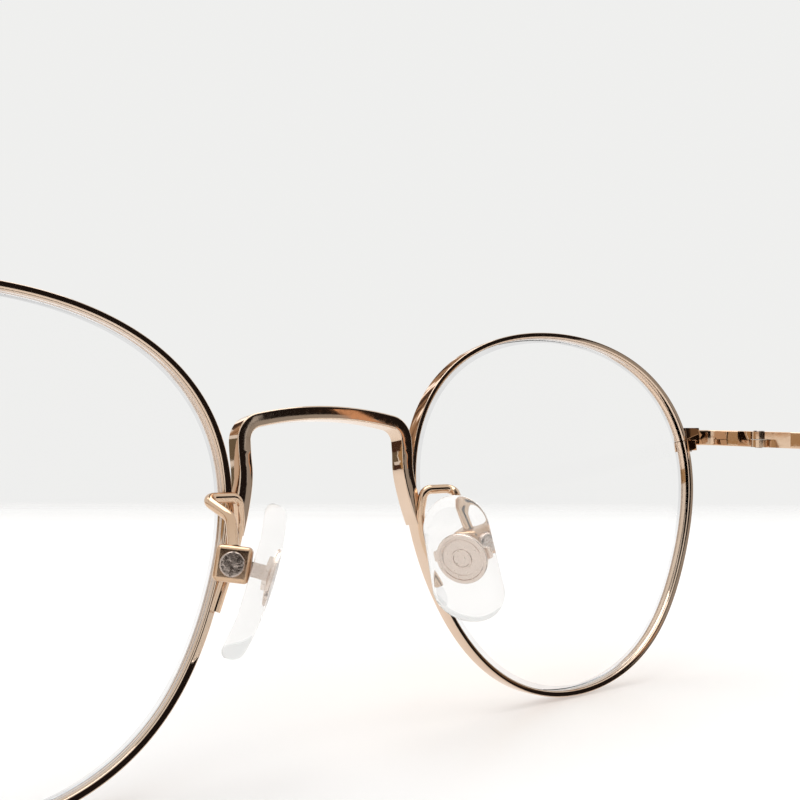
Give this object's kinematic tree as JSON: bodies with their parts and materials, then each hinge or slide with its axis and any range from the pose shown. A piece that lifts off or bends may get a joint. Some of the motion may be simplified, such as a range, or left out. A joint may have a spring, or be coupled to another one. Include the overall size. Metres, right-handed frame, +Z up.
{
  "type": "eyeglasses",
  "caption": "Round full-rim rose-gold metal eyeglasses with clear lenses, flat bridge, silicone nose pads and folding flat temples, standing open",
  "frame": {"origin": "middle of the footprint, on the surface that the glasses stand on", "axes": "+Z up, front faces -Y, temples point to +Y, +X is the wearer's left"},
  "size_m": [0.1288, 0.1434, 0.0445],
  "materials": {
    "rose_gold": "polished",
    "clear_lens": "polished",
    "screw_steel": "satin",
    "washer_nylon": "matte",
    "acetate": "polished",
    "clear_silicone": "polished",
    "pad_metal": "polished"
  },
  "bodies": {
    "front": {"bridge": "rose_gold", "rim_left": "rose_gold", "rim_right": "rose_gold", "lens_left": "clear_lens", "lens_right": "clear_lens", "endpiece_left": "rose_gold", "endpiece_right": "rose_gold", "closing_block_left": "rose_gold", "closing_block_right": "rose_gold", "rim_screw_left": "screw_steel", "rim_screw_right": "screw_steel", "hinge_front_left": "rose_gold", "hinge_front_right": "rose_gold", "hinge_washer_left": "washer_nylon", "hinge_washer_right": "washer_nylon", "hinge_screw_left": "screw_steel", "hinge_screw_right": "screw_steel", "pad_arm_left": "rose_gold", "pad_arm_right": "rose_gold", "pad_box_left": "rose_gold", "pad_box_right": "rose_gold", "pad_screw_left": "screw_steel", "pad_screw_right": "screw_steel"},
    "temple_left_body": {"hinge_temple_left": "rose_gold", "temple_left": "rose_gold", "temple_tip_left": "acetate"},
    "temple_right_body": {"hinge_temple_right": "rose_gold", "temple_right": "rose_gold", "temple_tip_right": "acetate"},
    "pad_left_body": {"nose_pad_left": "clear_silicone", "pad_core_left": "pad_metal"},
    "pad_right_body": {"nose_pad_right": "clear_silicone", "pad_core_right": "pad_metal"}
  },
  "joints": [
    {"name": "temple_left_fold", "type": "hinge", "parent": "front", "child": "temple_left_body", "pos_m": [0.0614, -0.0573, 0.03092], "axis": [0, 0.0262, 0.9997], "range_deg": [0, 92]},
    {"name": "temple_right_fold", "type": "hinge", "parent": "front", "child": "temple_right_body", "pos_m": [-0.0614, -0.0573, 0.03092], "axis": [0, -0.0262, -0.9997], "range_deg": [0, 84]},
    {"name": "pad_left_rock", "type": "hinge", "parent": "front", "child": "pad_left_body", "pos_m": [0.01395, -0.06154, 0.01986], "axis": [0.5, 0.8596, 0.1055], "range_deg": [-9, 9]},
    {"name": "pad_right_rock", "type": "hinge", "parent": "front", "child": "pad_right_body", "pos_m": [-0.01395, -0.06154, 0.01986], "axis": [0.5, -0.8596, -0.1055], "range_deg": [-9, 9]}
  ]
}
